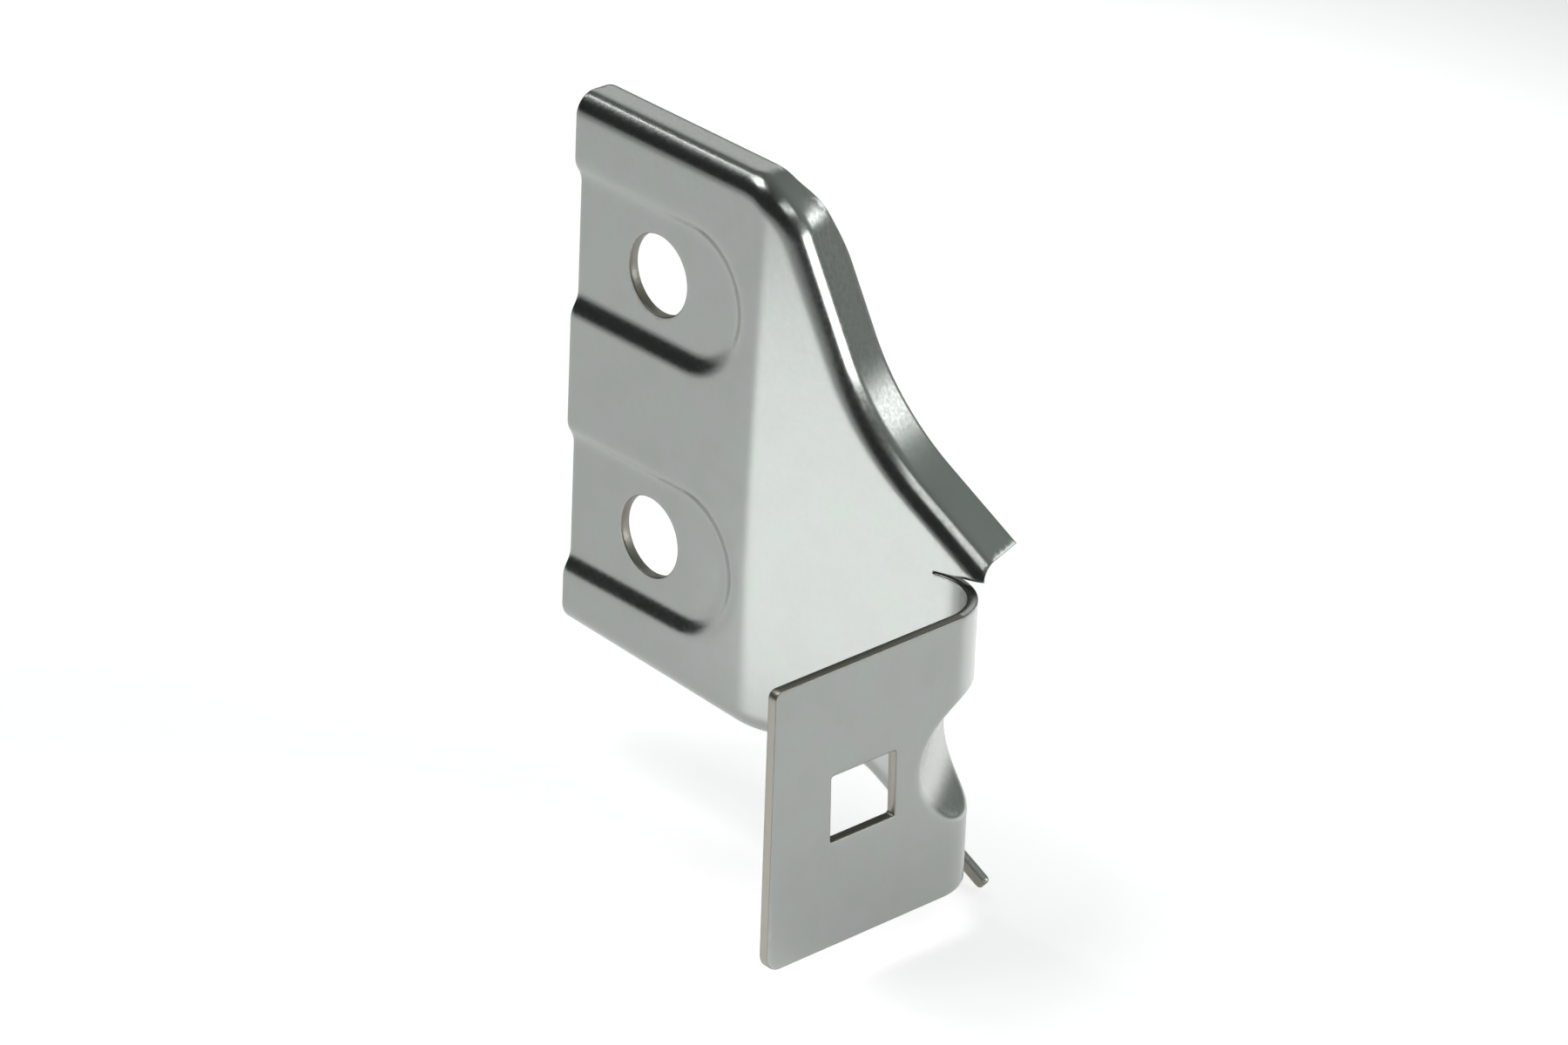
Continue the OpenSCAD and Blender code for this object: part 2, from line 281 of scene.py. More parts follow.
@dataclass(frozen=True)
class SheetForm:
    """Sizes of the bracket in millimetres and radians, and how its flat blank is bent.

    Blank coordinates are (a, b): a runs right from the fold, b runs up. A depth is measured back
    from the front face.
    """

    thickness: float = 0.9
    # The mounting plate, its fixing holes and the pads pressed back around them.
    pitch: float = 23.5
    hole_radius: float = 3.5
    left_edge: float = -22.7
    top: float = 22.6
    bottom: float = -21.4
    top_left_round: float = 0.6
    low_left_round: float = 0.85
    pad_depth: float = 0.75
    pad_half: float = 6.0
    pad_end: float = 4.35
    pad_ramp: float = 1.3
    pad_ease: float = 0.8
    # The soft fold between plate and web, which spreads out on a turned-back edge.
    fold_x: float = 12.9
    fold_radius: float = 4.1
    fold_spread: float = 0.45
    web_angle: float = math.radians(20)
    web_run: float = 16.9
    # The turned-back top edge: crest, steep fall, hollow and shallow fall.
    return_radius: float = 1.9
    plate_return: float = 3.7
    web_return: float = 5.9
    widen_from: float = -0.5
    widen_to: float = 3.5
    crest_run: float = 0.75
    crest_radius: float = 4.8
    steep_angle: float = math.radians(67)
    steep_length: float = 10.0
    hollow_radius: float = 28.0
    shallow_angle: float = math.radians(40)
    return_end: float = 21.1
    # The turned-back bottom edge, and the lug that its flat runs on as behind the corner.
    low_return: float = 2.8
    low_fall: float = math.radians(2.5)
    low_ease: float = 20.0
    lower_run: float = 11.2
    lower_radius: float = 6.0
    lower_angle: float = math.radians(40)
    lug_length: float = 7.4
    lug_root: float = 2.5
    lug_from: float = 2.9
    # Straight end of both lines of bending, well past the sheet.
    line_tail: float = 16.0
    # The corner bend and the front flange with its hole. The slit parts it from the top return.
    corner_radius: float = 5.5
    corner_lap: float = 0.25
    seam: float = 0.01
    slit: float = 0.15
    flange_top: float = -5.2
    flange_bottom: float = -30.1
    flange_length: float = 18.9
    flange_tilt: float = math.radians(1.8)
    flange_lean: float = math.radians(1.3)
    lean_share: float = 0.35
    flange_top_round: float = 0.7
    flange_low_round: float = 1.4
    foot_turn: float = 0.8
    foot_drop: float = 0.45
    slot_width: float = 6.8
    slot_height: float = 5.9
    slot_inset: float = 9.8
    slot_round: float = 0.25
    # The dart pressed into the corner bend.
    dart_radius: float = 6.8
    dart_depth: float = 2.95
    dart_level: float = -17.95
    dart_lean: float = math.radians(18.5)
    dart_blend: float = 0.6
    dart_reach: float = 6.0
    dart_limit: float = 1.4

    @property
    def front(self) -> float:
        """Place of the plate's front face along Y."""
        return -self.pad_depth - self.thickness

    @property
    def corner_turn(self) -> float:
        """Angle of the corner bend between the web and the flange."""
        return QUARTER + self.web_angle

    @property
    def corner_inner(self) -> float:
        """Radius of the front face in the corner bend."""
        return self.corner_radius - self.thickness

    @property
    def flange_start(self) -> float:
        """Blank coordinate at which the corner bend ends and the flat flange starts."""
        return self.web_run + self.corner_inner * self.corner_turn

    @property
    def return_bend(self) -> float:
        """Length on the blank of the bend of a turned-back edge."""
        return self.return_radius * QUARTER

    def top_width(self, a: Array) -> Array:
        """Developed width of the top return at places along the blank."""
        share = smooth((a - self.widen_from) / (self.widen_to - self.widen_from))
        return (
            self.return_radius * (QUARTER - 1) + self.plate_return
            + (self.web_return - self.plate_return) * share
        )

    def line(self, side: Side) -> BendLine:
        """Draws the line along which an edge is turned back.

        Args:
            side: Top or bottom edge. The bottom one is drawn mirrored, going up.

        Returns:
            The line.
        """
        if side is Side.TOP:
            set_back = self.crest_radius * math.tan(self.steep_angle / 2)
            steps = [
                (self.crest_run - set_back - self.left_edge, 0.0),
                (self.crest_radius * self.steep_angle, -self.crest_radius),
                (self.steep_length, 0.0),
                (self.hollow_radius * (self.steep_angle - self.shallow_angle), self.hollow_radius),
                (self.line_tail, 0.0),
            ]
            return BendLine.run((self.left_edge, self.top), steps)
        set_back = self.lower_radius * math.tan(self.lower_angle / 2)
        ease = self.low_ease * self.low_fall
        steps = [
            (-self.left_edge, 0.0),
            (ease, -self.low_ease),
            (self.lower_run - ease - set_back, 0.0),
            (self.lower_radius * self.lower_angle, self.lower_radius),
            (self.line_tail, 0.0),
        ]
        return BendLine.run((self.left_edge, -self.bottom), steps, self.low_fall)

    def curl(self, outward: Array, depth: Array | float) -> tuple[Array, Array]:
        """Carries points past a line of bending round the turned-back edge.

        Args:
            outward: Distance past the line, on the blank.
            depth: Depth in the sheet's thickness.

        Returns:
            The distance past the line and the depth after bending.
        """
        radius = self.return_radius
        angle = np.clip(outward / radius, 0.0, QUARTER)
        past = np.maximum(outward - self.return_bend, 0.0)
        across = np.where(outward > 0, (radius - depth) * np.sin(angle), outward)
        down = np.where(outward > 0, radius - (radius - depth) * np.cos(angle) + past, depth)
        return across, down

    def pads(self, a: Array, b: Array) -> Array:
        """Finds how far the pads press the sheet back.

        Args:
            a: Places along the blank.
            b: Places up the blank.

        Returns:
            The depths to which the sheet is pressed.
        """
        pressed = np.zeros_like(a)
        right = np.maximum(a + self.fold_x - self.pad_end, 0.0)
        for sign in (-1, 1):
            away = np.hypot(right, b - sign * self.pitch / 2)
            share = (self.pad_half + self.pad_ramp / 2 - away) / self.pad_ramp
            pressed += self.pad_depth * soft_ramp(share, self.pad_ease)
        return pressed

    def bend(self, points: Array, depth: Array) -> Array:
        """Carries blank points to their places in the frame, in millimetres.

        Args:
            points: Blank points, one row each.
            depth: Depth of each point behind the front face.

        Returns:
            Points in the frame.
        """
        a, b = points.T
        foot, normal, out = self.line(Side.TOP).nearest(points)
        across, down = self.curl(out, depth)
        low_foot, low_normal, low_out = self.line(Side.BOTTOM).nearest(points * (1, -1))
        low_across, low_down = self.curl(low_out, depth)
        above_slit = b > self.flange_top + self.slit / 2
        past_web = a > self.web_run - self.seam
        strip = past_web & ~above_slit & (low_out < self.lug_from)
        top = (out > 0) & ~strip
        low = (low_out > 0) & ~strip & ~above_slit
        flat = points.copy()
        flat[top] = (foot + normal * across[:, None])[top]
        flat[low] = ((low_foot + low_normal * low_across[:, None]) * (1, -1))[low]
        sunk = np.where(top, down, np.where(low, low_down, depth + self.pads(a, b)))
        past = np.where(top, out, np.where(low, low_out, 0.0))
        placed = self.fold(flat[:, 0], sunk, past)
        placed[strip] = self.corner(a[strip], depth[strip])
        placed = np.column_stack([placed, flat[:, 1]])
        near = (a > self.web_run - self.dart_reach) & ~past_web & ~above_slit & ~low
        for pressed in (strip, near):
            if pressed.any():
                placed[pressed] += self.dart(points[pressed])
        return placed

    def fold(self, a: Array, depth: Array, past: Array) -> Array:
        """Bends the sheet softly between the plate and the web.

        Args:
            a: Place along the sheet, from the fold.
            depth: Depth behind the front face.
            past: Distance out on a turned-back edge, where the fold is softer.

        Returns:
            X and Y in the frame.
        """
        half_turn = math.tan(self.web_angle / 2)
        half = self.fold_radius * half_turn + self.fold_spread * np.maximum(past, 0.0)
        radius = half / half_turn
        angle = self.web_angle * np.clip((a + half) / (2 * half), 0.0, 1.0)
        before = np.minimum(a, -half)
        after = np.maximum(a - half, 0.0)
        x = before + (radius - depth) * np.sin(angle) + after * math.cos(self.web_angle)
        y = radius - (radius - depth) * np.cos(angle) + after * math.sin(self.web_angle)
        return np.column_stack([self.fold_x + x, self.front + y])

    def on_web(self, u: Array, v: Array) -> Array:
        """X and Y in the frame of a place u along the web and v behind its front face."""
        cos, sin = math.cos(self.web_angle), math.sin(self.web_angle)
        return np.column_stack([self.fold_x + u * cos - v * sin, self.front + u * sin + v * cos])

    def corner(self, a: Array, depth: Array) -> Array:
        """Places points in the corner bend and on the front flange.

        Args:
            a: Places along the blank.
            depth: Depth behind the front face.

        Returns:
            X and Y in the frame.
        """
        run = np.maximum(a - self.web_run, 0.0)
        angle = np.minimum(run / self.corner_inner, self.corner_turn)
        past = np.maximum(a - self.flange_start, 0.0)
        radius = self.corner_inner + depth
        u = self.web_run + radius * np.sin(angle) + past * np.cos(angle)
        v = radius * np.cos(angle) - self.corner_inner - past * np.sin(angle)
        return self.on_web(u, v)

    def dart(self, points: Array) -> Array:
        """Finds the shift of the sheet where the dart is pressed into the corner bend.

        Args:
            points: Blank points near the corner bend.

        Returns:
            A shift for each point, in the frame.
        """
        a, b = points.T
        axis = self.on_web(np.array([self.web_run]), np.array([-self.corner_inner]))[0]
        towards = self.web_angle + QUARTER - self.corner_turn / 2 - self.dart_lean
        out = np.array([math.cos(towards), math.sin(towards)])
        back = np.full(len(points), self.thickness)
        bent = (a > self.web_run)[:, None]
        placed = np.where(bent, self.corner(a, back), self.on_web(a, back))
        reach = (placed - axis) @ out
        rise = (b - self.dart_level) / self.dart_radius
        centre = self.corner_radius - self.dart_depth + self.dart_radius
        pressed = centre - self.dart_radius * np.sqrt(np.maximum(1.0 - rise * rise, 0.0))
        gap = reach - pressed
        blend = self.dart_blend
        blended = np.where(gap > -blend, (gap + blend) ** 2 / (4 * blend), 0.0)
        cut = np.where(gap > blend, gap, blended)
        shift = -cut * (np.abs(rise) < self.dart_limit)
        return np.column_stack([shift * out[0], shift * out[1], np.zeros(len(points))])


@dataclass(frozen=True)
class Blank(SheetForm):
    """The form with its outline and holes, in millimetres. The step of arcs is in degrees."""

    arc_step: float = 12.0
    edge_step: float = 0.35
    low_step: float = 0.4
    margin: float = 0.2
    foot_margin: float = 0.05
    root_shift: Pair = (0.03, 0.35)
    end_points: int = 22
    slit_points: tuple[int, int] = (6, 9)
    foot_points: int = 12
    tip_points: int = 9
    search_points: int = 4000
    hole_points: int = 72

    def loops(self) -> list[Array]:
        """Draws the outline, the fixing holes and the flange's hole."""
        return [self.outline(), *self.fixing_holes(), self.slot()]

    def arc(self, centre: Pair, radius: float, start: float, end: float) -> Array:
        """Draws an arc.

        Args:
            centre: Centre of the arc.
            radius: Its radius.
            start: Angle at which it starts, in degrees.
            end: Angle at which it ends, in degrees.

        Returns:
            Points of the arc.
        """
        count = max(3, int(abs(end - start) / self.arc_step) + 1)
        angles = np.radians(np.linspace(start, end, count))
        return np.array(centre) + radius * np.column_stack([np.cos(angles), np.sin(angles)])

    def top_edge(self) -> Array:
        """Draws the edge of the top return, and its right end down to the slit.

        Returns:
            Points from the left.
        """
        line = self.line(Side.TOP)
        along = np.arange(0.0, line.length, self.edge_step)
        wide = self.top_width(line.point(along)[0][:, 0])
        tan = math.tan(self.shallow_angle)
        end_along = self.along_at(line, self.return_end)
        keep = along < end_along - self.return_radius * tan - self.margin
        edge = line.past(along, wide)[keep]
        outward = np.linspace(wide[-1], self.slit_outward(), self.end_points)
        across, _ = self.curl(outward, 0.0)
        return np.vstack([edge, line.past(end_along - across * tan, outward)])

    def along_at(self, line: BendLine, a: float) -> float:
        """Distance along a line at which it passes a place along the sheet."""
        along = np.linspace(0.0, line.length, self.search_points)
        return float(np.interp(a, line.point(along)[0][:, 0], along))

    def slit_outward(self) -> float:
        """Finds how far out on the return's end the slit cuts it.

        Returns:
            The distance past the line of bending, on the blank.
        """
        line = self.line(Side.TOP)
        end_level = line.point(self.along_at(line, self.return_end))[0][0, 1]
        across = (self.flange_top + self.slit - end_level) * math.cos(self.shallow_angle)
        return self.return_radius * math.asin(across / self.return_radius)

    def slit_edge(self) -> Array:
        """Draws the slit's upper edge, from the return's end back to the slit's closed end.

        Returns:
            Points from the right.
        """
        line = self.line(Side.TOP)
        level = self.flange_top + self.slit
        outward = np.linspace(self.slit_outward(), 0.0, self.slit_points[0])[1:]
        across, _ = self.curl(outward, 0.0)
        along = np.linspace(0.0, line.length, self.search_points)
        heights = line.point(along)[0][:, 1]
        need = level - across * math.cos(self.shallow_angle)
        edge = line.past(np.interp(-need, -heights, along), outward)
        run = np.linspace(edge[-1, 0], self.web_run - self.corner_lap, self.slit_points[1])[1:]
        return np.vstack([edge, np.column_stack([run, np.full(len(run), level)])])

    def flange_edge(self) -> Array:
        """Draws the slit's lower edge, then goes round the flange to the corner bend's foot.

        Returns:
            Points from the slit's closed end.
        """
        start = self.flange_start
        end = start + self.flange_length
        fall = self.flange_length * math.tan(self.flange_tilt)
        height = self.flange_top - self.flange_bottom
        low_end = end - height * math.tan(self.flange_lean) * self.lean_share
        level = self.flange_top
        top = [(self.web_run - self.corner_lap, level), (self.web_run, level), (start, level)]
        small, large = self.flange_top_round, self.flange_low_round
        upper = self.arc((end - small, level - fall - small), small, 90, 0)
        lower = self.arc((low_end - large, self.flange_bottom - fall + large), large, 0, -90)
        turn = np.linspace(self.foot_turn, 0.0, self.foot_points)
        run = self.corner_inner * np.sin(turn)
        line = self.line(Side.BOTTOM)
        foot_level = -line.point(self.along_at(line, self.web_run))[0][0, 1]
        low = foot_level - self.foot_drop - run * math.tan(self.lower_angle)
        foot = np.column_stack([self.web_run + self.corner_inner * turn, low])
        foot = foot[foot[:, 1] > self.flange_bottom + self.foot_margin]
        root = (self.web_run + self.root_shift[0], foot_level + self.root_shift[1])
        return np.vstack([top, upper, lower, [(start, self.flange_bottom)], foot, [root]])

    def low_edge(self) -> Array:
        """Draws the bottom return's end, the lug, and the return's edge back to the left.

        Returns:
            Points from the right.
        """
        line = self.line(Side.BOTTOM)
        tan = math.tan(self.lower_angle)
        root = self.along_at(line, self.web_run - self.corner_lap)
        web_end = self.along_at(line, self.web_run)
        flat_from = self.return_bend
        wide = flat_from + self.low_return - self.return_radius
        outward = np.linspace(0.0, flat_from, self.foot_points)
        across, _ = self.curl(outward, 0.0)
        end = line.past(root + across * tan, outward)
        half = (wide - flat_from) / 2
        round_end = np.linspace(0, math.pi, self.tip_points)
        tip = web_end + self.lug_length - half
        tip_along = np.append(root + self.lug_root, tip + half * np.sin(round_end))
        tip_out = np.append(flat_from, flat_from + half - half * np.cos(round_end))
        lug = line.past(tip_along, tip_out)
        edge = line.past(np.arange(web_end, 0.0, -self.low_step), wide)
        return np.vstack([end, lug, edge]) * (1, -1)

    def outline(self) -> Array:
        """Draws the whole outline, clockwise from the left end of the top return.

        Returns:
            Points of the outline.
        """
        straight = self.return_bend - self.return_radius
        top = self.top + straight + self.plate_return
        low = self.bottom - straight - self.low_return
        radius, low_radius = self.top_left_round, self.low_left_round
        left = self.left_edge
        upper = self.arc((left + radius, top - radius), radius, 180, 90)
        lower = self.arc((left + low_radius, low + low_radius), low_radius, 270, 180)
        edge = self.top_edge()
        edge = edge[edge[:, 0] > left + radius + self.margin]
        foot = self.low_edge()
        foot = foot[foot[:, 0] > left + low_radius + self.margin]
        return np.vstack([upper, edge, self.slit_edge(), self.flange_edge(), foot, lower])

    def fixing_holes(self) -> list[Array]:
        """Draws the two round fixing holes.

        Returns:
            Points of each hole.
        """
        angles = np.linspace(0, 2 * math.pi, self.hole_points + 1)[:-1]
        ring = self.hole_radius * np.column_stack([np.cos(angles), np.sin(angles)])
        return [ring + (-self.fold_x, side * self.pitch / 2) for side in (1, -1)]

    def slot(self) -> Array:
        """Draws the flange's rectangular hole, tilted with the flange.

        Returns:
            Points of the hole.
        """
        radius = self.slot_round
        half_w, half_h = self.slot_width / 2, self.slot_height / 2
        ring = np.vstack([
            self.arc((x * (half_w - radius), y * (half_h - radius)), radius, at, at + 90)
            for x, y, at in ((1, 1, 0), (-1, 1, 90), (-1, -1, 180), (1, -1, 270))
        ])
        away = self.flange_length - self.slot_inset
        cos, sin = math.cos(-self.flange_tilt), math.sin(-self.flange_tilt)
        turned = ring @ np.array([[cos, sin], [-sin, cos]])
        middle = (self.flange_top + self.flange_bottom) / 2
        return turned + (self.flange_start + away, middle - away * math.tan(self.flange_tilt))


def unit(rows: Array) -> Array:
    """Scales each row to length 1."""
    return rows / np.linalg.norm(rows, axis=1)[:, None]


def resample(loop: Array, step: float) -> Array:
    """Adds points to a closed loop so that no side is longer than step.

    Args:
        loop: Points of the loop.
        step: Longest side.

    Returns:
        Points of the finer loop.
    """
    rows = []
    for start, end in zip(loop, np.roll(loop, -1, axis=0)):
        gap = float(np.linalg.norm(end - start))
        if gap < SHORTEST:
            continue
        count = max(1, math.ceil(gap / step))
        shares = np.arange(count)[:, None] / count
        rows.append(start + (end - start) * shares)
    return np.vstack(rows)


def inside(points: Array, loops: list[Array]) -> Array:
    """Tells whether each point lies within the outline and outside the holes.

    Args:
        points: Blank points.
        loops: Outline and holes.

    Returns:
        A truth value for each point.
    """
    x, y = points.T
    odd = np.zeros(len(points), bool)
    for loop in loops:
        for (x0, y0), (x1, y1) in zip(loop, np.roll(loop, -1, axis=0)):
            if y0 == y1:
                continue
            crosses = (y0 > y) != (y1 > y)
            odd ^= crosses & (x < x0 + (y - y0) * (x1 - x0) / (y1 - y0))
    return odd


def clearance(points: Array, rim: Array) -> Array:
    """Finds the distance from each point to the nearest rim point.

    Args:
        points: Blank points.
        rim: Points of the rim.

    Returns:
        The distances.
    """
    tree = KDTree(len(rim))
    for number, (x, y) in enumerate(rim):
        tree.insert((x, y, 0.0), number)
    tree.balance()
    return np.array([tree.find((x, y, 0.0))[2] for x, y in points])


@dataclass
class Bracket:
    """The folded sheet itself, built as one closed mesh. Its steps are in millimetres."""

    form: Blank = field(default_factory=Blank)
    name: str = "folded_bracket"
    node: str = "bracket"
    material_slot: str = "zinc_steel"
    cut_mark: str = "cut_edge"
    edge_round: float = 0.09
    edge_share: float = 0.29
    rim_step: float = 0.3
    rim_clear: float = 0.22
    row_step: float = 0.45
    bend_step: float = 0.22
    inner_row: float = -0.3
    bend_rows_end: float = 3.1
    wall_rows: Pair = (3.3, 7.2)
    wide_step: float = 0.5
    fine_step: float = 0.25
    fold_zone: float = 1.2
    corner_zone: Pair = (3.5, 3.0)
    column_foot: float = 1.4
    line_margin: float = 0.5
    strip_lap: float = 0.2
    strip_margin: float = 0.1
    plated_zone: Pair = (1.0, 0.1)
    mitre_limit: float = 0.5
    probe: float = 0.02

    def edge_rows(self, side: Side) -> list[Array]:
        """Lays rows of points that follow a turned-back edge.

        Args:
            side: Which edge.

        Returns:
            The rows, from the inside outward.
        """
        line = self.form.line(side)
        along = np.arange(0.0, line.length, self.row_step)
        outward = np.concatenate([
            [self.inner_row, 0.0],
            np.arange(self.bend_step, self.bend_rows_end, self.bend_step),
            np.arange(*self.wall_rows, self.row_step),
        ])
        rows = []
        for number, out in enumerate(outward):
            shifted = line.past(along, out)
            if number % 2:
                shifted = shifted[:-1] / 2 + shifted[1:] / 2
            rows.append(shifted * (1, side.value))
        return rows

    def flat_rows(self) -> list[Array]:
        """Lays columns of points over the blank, closer at the fold and at the corner bend.

        Returns:
            The columns, from the left.
        """
        form = self.form
        wide, fine = self.wide_step, self.fine_step
        corner_from = form.web_run - self.corner_zone[0]
        corner_to = form.flange_start + self.corner_zone[1]
        columns = np.concatenate([np.arange(*zone) for zone in (
            (form.left_edge, -self.fold_zone, wide),
            (-self.fold_zone, self.fold_zone, fine),
            (self.fold_zone, corner_from, wide),
            (corner_from, corner_to, fine),
            (corner_to, form.flange_start + form.flange_length, wide),
        )])
        rows = []
        for number, a in enumerate(columns):
            step = fine if corner_from < a < corner_to else wide
            b = np.arange(form.flange_bottom - self.column_foot, form.top, step)
            b += step / 2 * (number % 2)
            rows.append(np.column_stack([np.full(len(b), a), b]))
        return rows

    def fill(self, drawn: list[Array], rim: Array) -> Array:
        """Fills the blank with points, in rows that follow the bends.

        Args:
            drawn: Outline and holes.
            rim: All rim points.

        Returns:
            Points inside the blank.
        """
        form = self.form
        top_line, low_line = form.line(Side.TOP), form.line(Side.BOTTOM)
        curved = np.vstack([row for side in Side for row in self.edge_rows(side)])
        flat = np.vstack(self.flat_rows())
        inner = (top_line.nearest(flat)[2] < -self.line_margin) & (
            low_line.nearest(flat * (1, -1))[2] < -self.line_margin
        )
        strip = (flat[:, 0] > form.web_run) & (flat[:, 1] < form.flange_top)
        flat = flat[strip | inner]
        on_strip = (
            (curved[:, 0] > form.web_run - self.strip_lap)
            & (curved[:, 1] < form.flange_top + self.strip_margin)
            & (low_line.nearest(curved * (1, -1))[2] < form.lug_from - self.strip_margin)
        )
        points = np.vstack([curved[~on_strip], flat])
        points = points[inside(points, drawn)]
        return points[clearance(points, rim) > self.rim_clear]

    def build(self) -> Object:
        """Builds the mesh.

        Returns:
            The finished object.
        """
        drawn = self.form.loops()
        loops = [resample(loop, self.rim_step) for loop in drawn]
        cuts = [(loop, self.inward(loop, drawn)) for loop in loops]
        rims = [loop + way * self.edge_round for loop, way in cuts]
        rim = np.vstack(rims)
        points = np.vstack([rim, self.fill(drawn, rim)])
        edges: list[tuple[int, int]] = []
        for loop in rims:
            ring = list(range(len(edges), len(edges) + len(loop)))
            edges += zip(ring, ring[1:] + ring[:1])
        found = delaunay_2d_cdt([Vector(spot) for spot in points], edges, [], 0, MERGE)
        flat = np.array([tuple(spot) for spot in found[0]])
        faces = np.array(found[2])
        faces = faces[inside(flat[faces].mean(axis=1), rims)]
        index = {origin[0]: new for new, origin in enumerate(found[3]) if origin}
        return self.assemble(flat, faces, cuts, index)

    def inward(self, loop: Array, loops: list[Array]) -> Array:
        """Finds the directions that lead from a loop into the sheet.

        Args:
            loop: Points of the loop.
            loops: Outline and holes.

        Returns:
            A direction for each point, longer where the loop turns, so that an inset stays even.
        """
        side = unit(loop - np.roll(loop, 1, axis=0))
        way = unit(side + np.roll(side, -1, axis=0))
        normal = np.column_stack([-way[:, 1], way[:, 0]])
        shape = np.clip(np.einsum("ij,ij->i", way, side), self.mitre_limit, 1)
        if inside(loop + normal * self.probe, loops).mean() < 0.5:
            normal = -normal
        return normal / shape[:, None]

    def assemble(
        self, flat: Array, faces: Array, cuts: list[tuple[Array, Array]], index: dict[int, int]
    ) -> Object:
        """Makes front, back and the rounded cut edges into one mesh.

        Args:
            flat: Blank points of the filled sheet.
            faces: Triangles, counter-clockwise on the blank.
            cuts: Points of each cut edge, and inward directions there.
            index: Place among the blank points of each rim point.

        Returns:
            The finished object.
        """
        form = self.form
        count = len(flat)
        thick = form.thickness
        cut = self.edge_round
        rings = [(self.edge_share * cut, self.edge_share * cut), (0.0, cut)]
        rings += [(away, thick - deep) for away, deep in reversed(rings)]
        verts = [form.bend(flat, np.zeros(count)), form.bend(flat, np.full(count, thick))]
        quads: list[tuple[int, ...]] = []
        marks = [0.0] * (2 * len(faces))
        start = 2 * count
        first = 0
        for loop, way in cuts:
            size = len(loop)
            ahead, above = (loop - (form.web_run, form.flange_top) + self.plated_zone).T
            plated = (ahead > 0) & (ahead < form.flange_start - form.web_run) & (above > 0)
            ids = [[index[first + i] for i in range(size)]]
            for away, deep in rings:
                verts.append(form.bend(loop + way * away, np.full(size, deep)))
                ids.append(list(range(start, start + size)))
                start += size
            ids.append([count + place for place in ids[0]])
            for upper, lower in zip(ids, ids[1:]):
                quads += zip(upper, upper[1:] + upper[:1], lower[1:] + lower[:1], lower)
                marks += np.where(plated, 0.0, 1.0).tolist()
            first += size
        mesh = bpy.data.meshes.new(self.name)
        sides = [tuple(face) for face in np.vstack([faces, faces[:, ::-1] + count]).tolist()]
        mesh.from_pydata(np.vstack(verts) * MM, [], sides + quads)
        mesh.validate()
        self.face_outward(mesh)
        mesh.shade_smooth()
        mesh.attributes.new(self.cut_mark, "FLOAT", "FACE").data.foreach_set("value", marks)
        return add(mesh)

    def face_outward(self, mesh: bpy.types.Mesh) -> None:
        """Turns all faces to point out of the sheet.

        Args:
            mesh: The closed mesh.
        """
        work = bmesh.new()
        work.from_mesh(mesh)
        bmesh.ops.recalc_face_normals(work, faces=work.faces)
        if work.calc_volume(signed=True) < 0:
            bmesh.ops.reverse_faces(work, faces=work.faces)
        work.to_mesh(mesh)
        work.free()

    def dress(self, obj: Object, material: bpy.types.Material) -> None:
        """Gives the sheet its finish and ties it to the frame.

        Args:
            obj: The finished sheet.
            material: Its finish.
        """
        obj.data.materials.append(material)
        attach(obj, "root")
        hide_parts(self.node)


